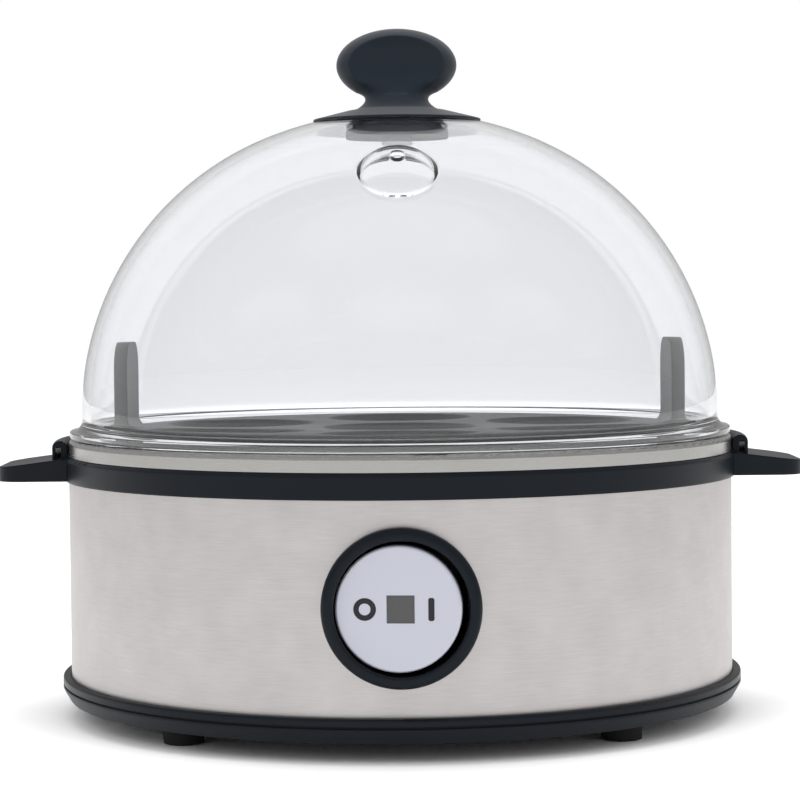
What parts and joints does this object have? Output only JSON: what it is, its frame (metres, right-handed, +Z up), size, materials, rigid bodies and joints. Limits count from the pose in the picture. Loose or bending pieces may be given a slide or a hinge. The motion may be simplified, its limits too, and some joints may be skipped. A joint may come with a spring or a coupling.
{
  "type": "egg cooker",
  "caption": "Electric egg cooker: round steel body with ear handles and rocker switch, heating pan, lift-out egg tray and clear domed lid with a knob.",
  "frame": {"origin": "on the floor under the body's axis", "axes": "+Z up, -Y towards the switch at the front, +X towards the right ear"},
  "size_m": [0.19, 0.1645, 0.1624],
  "materials": {
    "clear_lid": "clear moulded polycarbonate",
    "knob_black": "satin soft-touch moulding",
    "inner_black": "moulded plastic",
    "case_black": "satin moulded plastic",
    "tray_grey": "satin moulded plastic",
    "shell_steel": "fine brushed round the body",
    "pan_steel": "pressed and polished",
    "switch_silver": "silver lacquer on plastic",
    "window_smoke": "smoked clear plastic",
    "seal_rubber": "moulded silicone",
    "foot_rubber": "moulded rubber",
    "fixing_steel": "zinc plated",
    "spreader_aluminium": "cast and faced",
    "element_sheath": "heat-darkened sheath",
    "ceramic_white": "unglazed",
    "phenolic_black": "moulded",
    "terminal_brass": "plain",
    "fuse_metal": "drawn case",
    "lamp_glass": "clear",
    "lead_sleeve": "woven glass sleeve over silicone",
    "earth_sleeve": "silicone sleeve"
  },
  "bodies": {
    "base": {"base_cover": "case_black", "block_screws": "fixing_steel", "body_shell": "shell_steel", "clip_screw": "fixing_steel", "cord_gland": "case_black", "cover_screws": "fixing_steel", "earth_lead": "earth_sleeve", "element_insulators": "ceramic_white", "element_pins": "terminal_brass", "fuse_clip": "fixing_steel", "fuse_lead": "lead_sleeve", "handle_collar": "case_black", "heat_spreader": "spreader_aluminium", "heating_element": "element_sheath", "heating_pan": "pan_steel", "indicator_lamp": "lamp_glass", "live_lead": "lead_sleeve", "neutral_lead": "lead_sleeve", "pan_nuts": "fixing_steel", "pan_seal": "seal_rubber", "rocker_pin": "fixing_steel", "rubber_feet": "foot_rubber", "strap_screws": "fixing_steel", "switch_bezel": "case_black", "switch_housing": "phenolic_black", "switch_terminals": "terminal_brass", "switched_lead": "lead_sleeve", "terminal_block": "ceramic_white", "thermal_fuse": "fuse_metal", "thermostat": "phenolic_black", "thermostat_lead": "lead_sleeve", "thermostat_strap": "fixing_steel"},
    "tray": {"egg_tray": "tray_grey"},
    "lid": {"lid_dome": "clear_lid", "lid_knob": "knob_black", "knob_gasket": "seal_rubber", "knob_retainer": "inner_black", "knob_screw": "fixing_steel"},
    "switch_rocker": {"rocker": "switch_silver", "indicator_window": "window_smoke"}
  },
  "joints": [
    {"name": "tray_lift", "type": "slide", "parent": "base", "child": "tray", "axis": [0, 0, 1], "range_m": [0, 0.08]},
    {"name": "lid_lift", "type": "slide", "parent": "tray", "child": "lid", "axis": [0, 0, 1], "range_m": [0, 0.12]},
    {"name": "rocker_tilt", "type": "hinge", "parent": "base", "child": "switch_rocker", "pos_m": [0, -0.0734, 0.0332], "axis": [0, 0, 1], "range_deg": [0, 10]}
  ]
}
